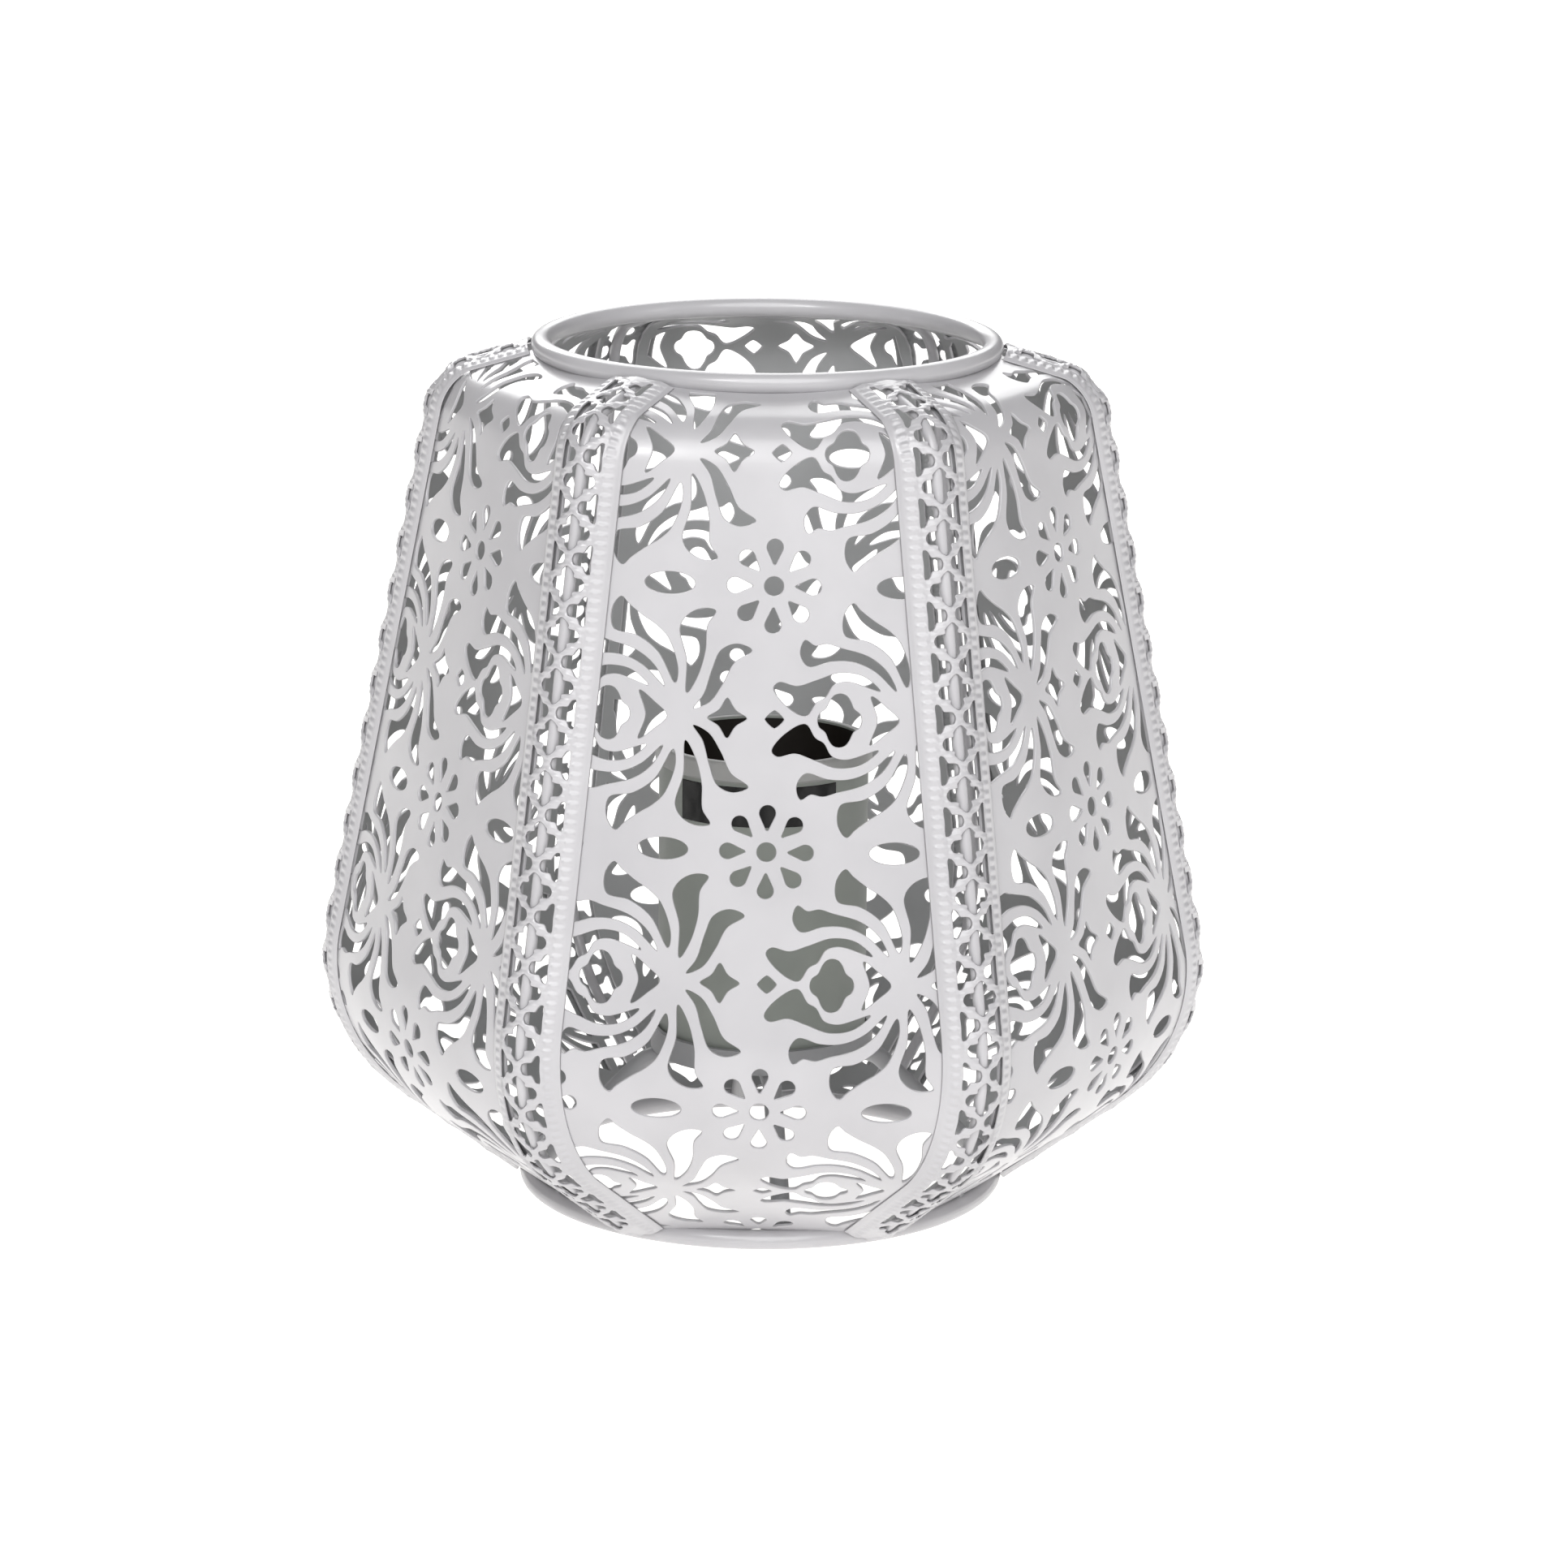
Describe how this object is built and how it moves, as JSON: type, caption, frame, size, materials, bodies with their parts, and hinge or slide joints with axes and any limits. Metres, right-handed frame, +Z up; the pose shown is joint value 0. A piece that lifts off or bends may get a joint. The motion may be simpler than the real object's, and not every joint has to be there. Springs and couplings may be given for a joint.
{
  "type": "tealight holder",
  "caption": "Perforated metal lantern with bowed floral panels, lace strips over its joints, an open round mouth and foot, and a lift-out candle cup.",
  "frame": {"origin": "on the ground under the lantern's upright axis", "axes": "+Z up; panel 1 faces -Y, and the lace strips at the two widest corners are on +X and -X"},
  "size_m": [0.1914, 0.1728, 0.1858],
  "materials": {
    "white_paint": "satin",
    "grey_paint": "satin",
    "cup_metal": "satin"
  },
  "bodies": {
    "lantern": {"base_ring": "white_paint", "top_ring": "white_paint", "panel_1": "white_paint", "panel_2": "white_paint", "panel_3": "white_paint", "panel_4": "white_paint", "panel_5": "white_paint", "panel_6": "white_paint", "rib_wire_1": "white_paint", "rib_wire_2": "white_paint", "rib_wire_3": "white_paint", "rib_wire_4": "white_paint", "rib_wire_5": "white_paint", "rib_wire_6": "white_paint", "lace_strip_1": "white_paint", "lace_strip_2": "white_paint", "lace_strip_3": "white_paint", "lace_strip_4": "white_paint", "lace_strip_5": "white_paint", "lace_strip_6": "white_paint", "cup_leg_1": "grey_paint", "cup_leg_2": "grey_paint", "cup_leg_3": "grey_paint", "cup_leg_4": "grey_paint", "saucer": "grey_paint"},
    "cup": {"candle_cup": "cup_metal"}
  },
  "joints": [
    {"name": "cup_lift", "type": "slide", "parent": "lantern", "child": "cup", "axis": [0, 0, 1], "range_m": [0, 0.17]}
  ]
}
